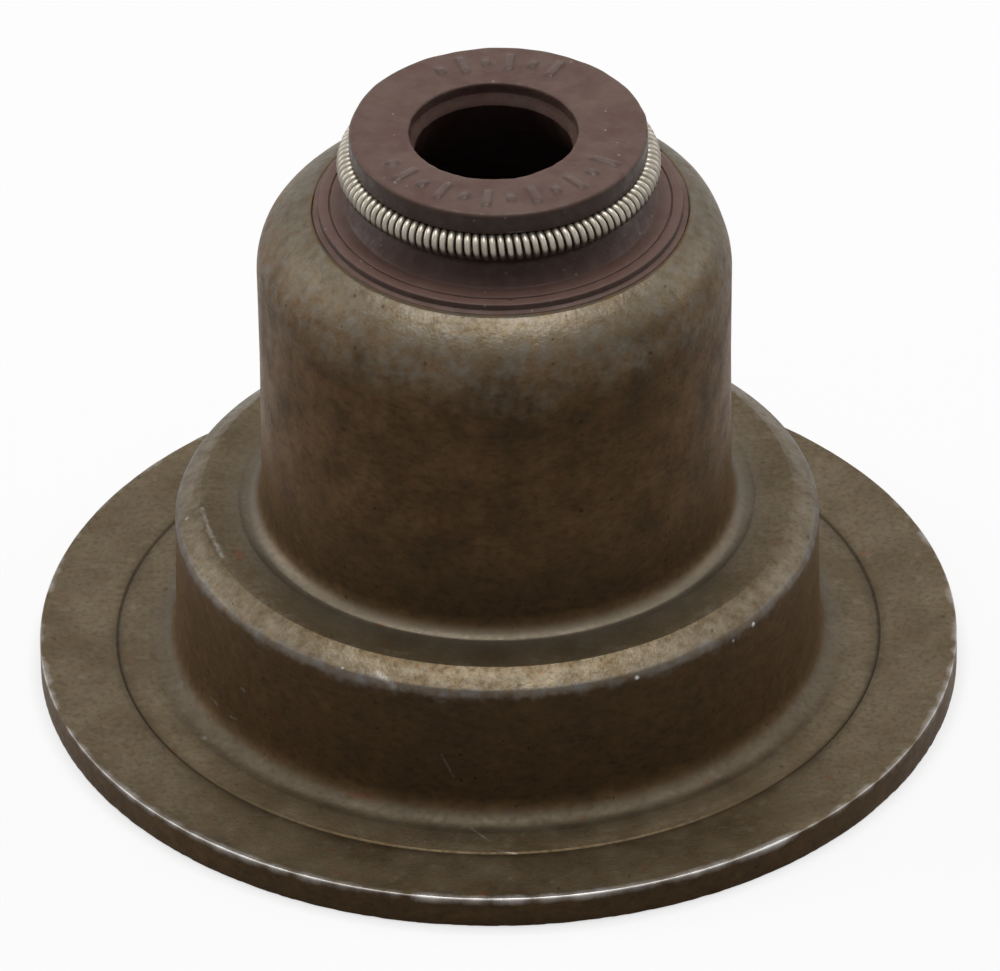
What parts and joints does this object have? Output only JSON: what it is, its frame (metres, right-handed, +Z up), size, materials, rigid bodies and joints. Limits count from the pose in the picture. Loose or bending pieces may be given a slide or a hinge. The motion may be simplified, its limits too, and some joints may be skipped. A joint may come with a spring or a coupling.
{
  "type": "valve stem seal",
  "caption": "Valve stem seal with integral spring seat: stepped pressed-steel casing, moulded brown rubber lip and lining, and a garter spring round the neck.",
  "frame": {"origin": "centre of the underside of the flange", "axes": "+Z up along the axis of the valve stem, from the flange to the lip; -Y is the side where the garter spring's joint shows"},
  "size_m": [0.033, 0.033, 0.0231],
  "materials": {
    "casing_steel": "satin, olive-brown tarnish, worn brighter on edges",
    "seal_rubber": "satin, dark chocolate brown",
    "spring_steel": "bright drawn wire"
  },
  "bodies": {
    "root": {"casing": "casing_steel", "seal_body": "seal_rubber", "garter_spring": "spring_steel"}
  },
  "joints": []
}
